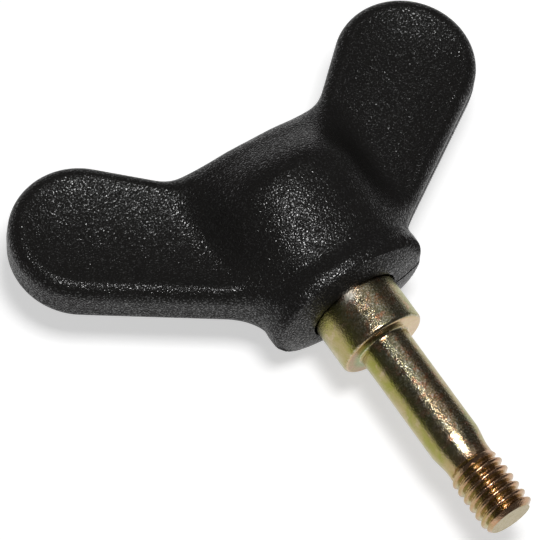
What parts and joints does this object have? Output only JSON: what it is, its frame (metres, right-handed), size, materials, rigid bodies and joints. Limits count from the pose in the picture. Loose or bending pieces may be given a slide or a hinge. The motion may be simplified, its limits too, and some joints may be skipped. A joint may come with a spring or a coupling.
{
  "type": "wing screw",
  "caption": "Hand-turned wing screw: a moulded plastic wing handle fixed on a shouldered steel stud with a short threaded end.",
  "frame": {"origin": "centre of the collar's seating face, on the stud's axis", "axes": "-Y along the stud to its threaded tip, +X and -X to the two wings, +Z square to the plane of the wings"},
  "size_m": [0.0782, 0.078, 0.0252],
  "materials": {
    "moulded_plastic": "black, moulded with a fine grained texture",
    "zinc_plated_steel": "turned steel, zinc plated with yellow iridescent chromate"
  },
  "bodies": {
    "root": {"wing_handle": "moulded_plastic", "shoulder_stud": "zinc_plated_steel"}
  },
  "joints": []
}
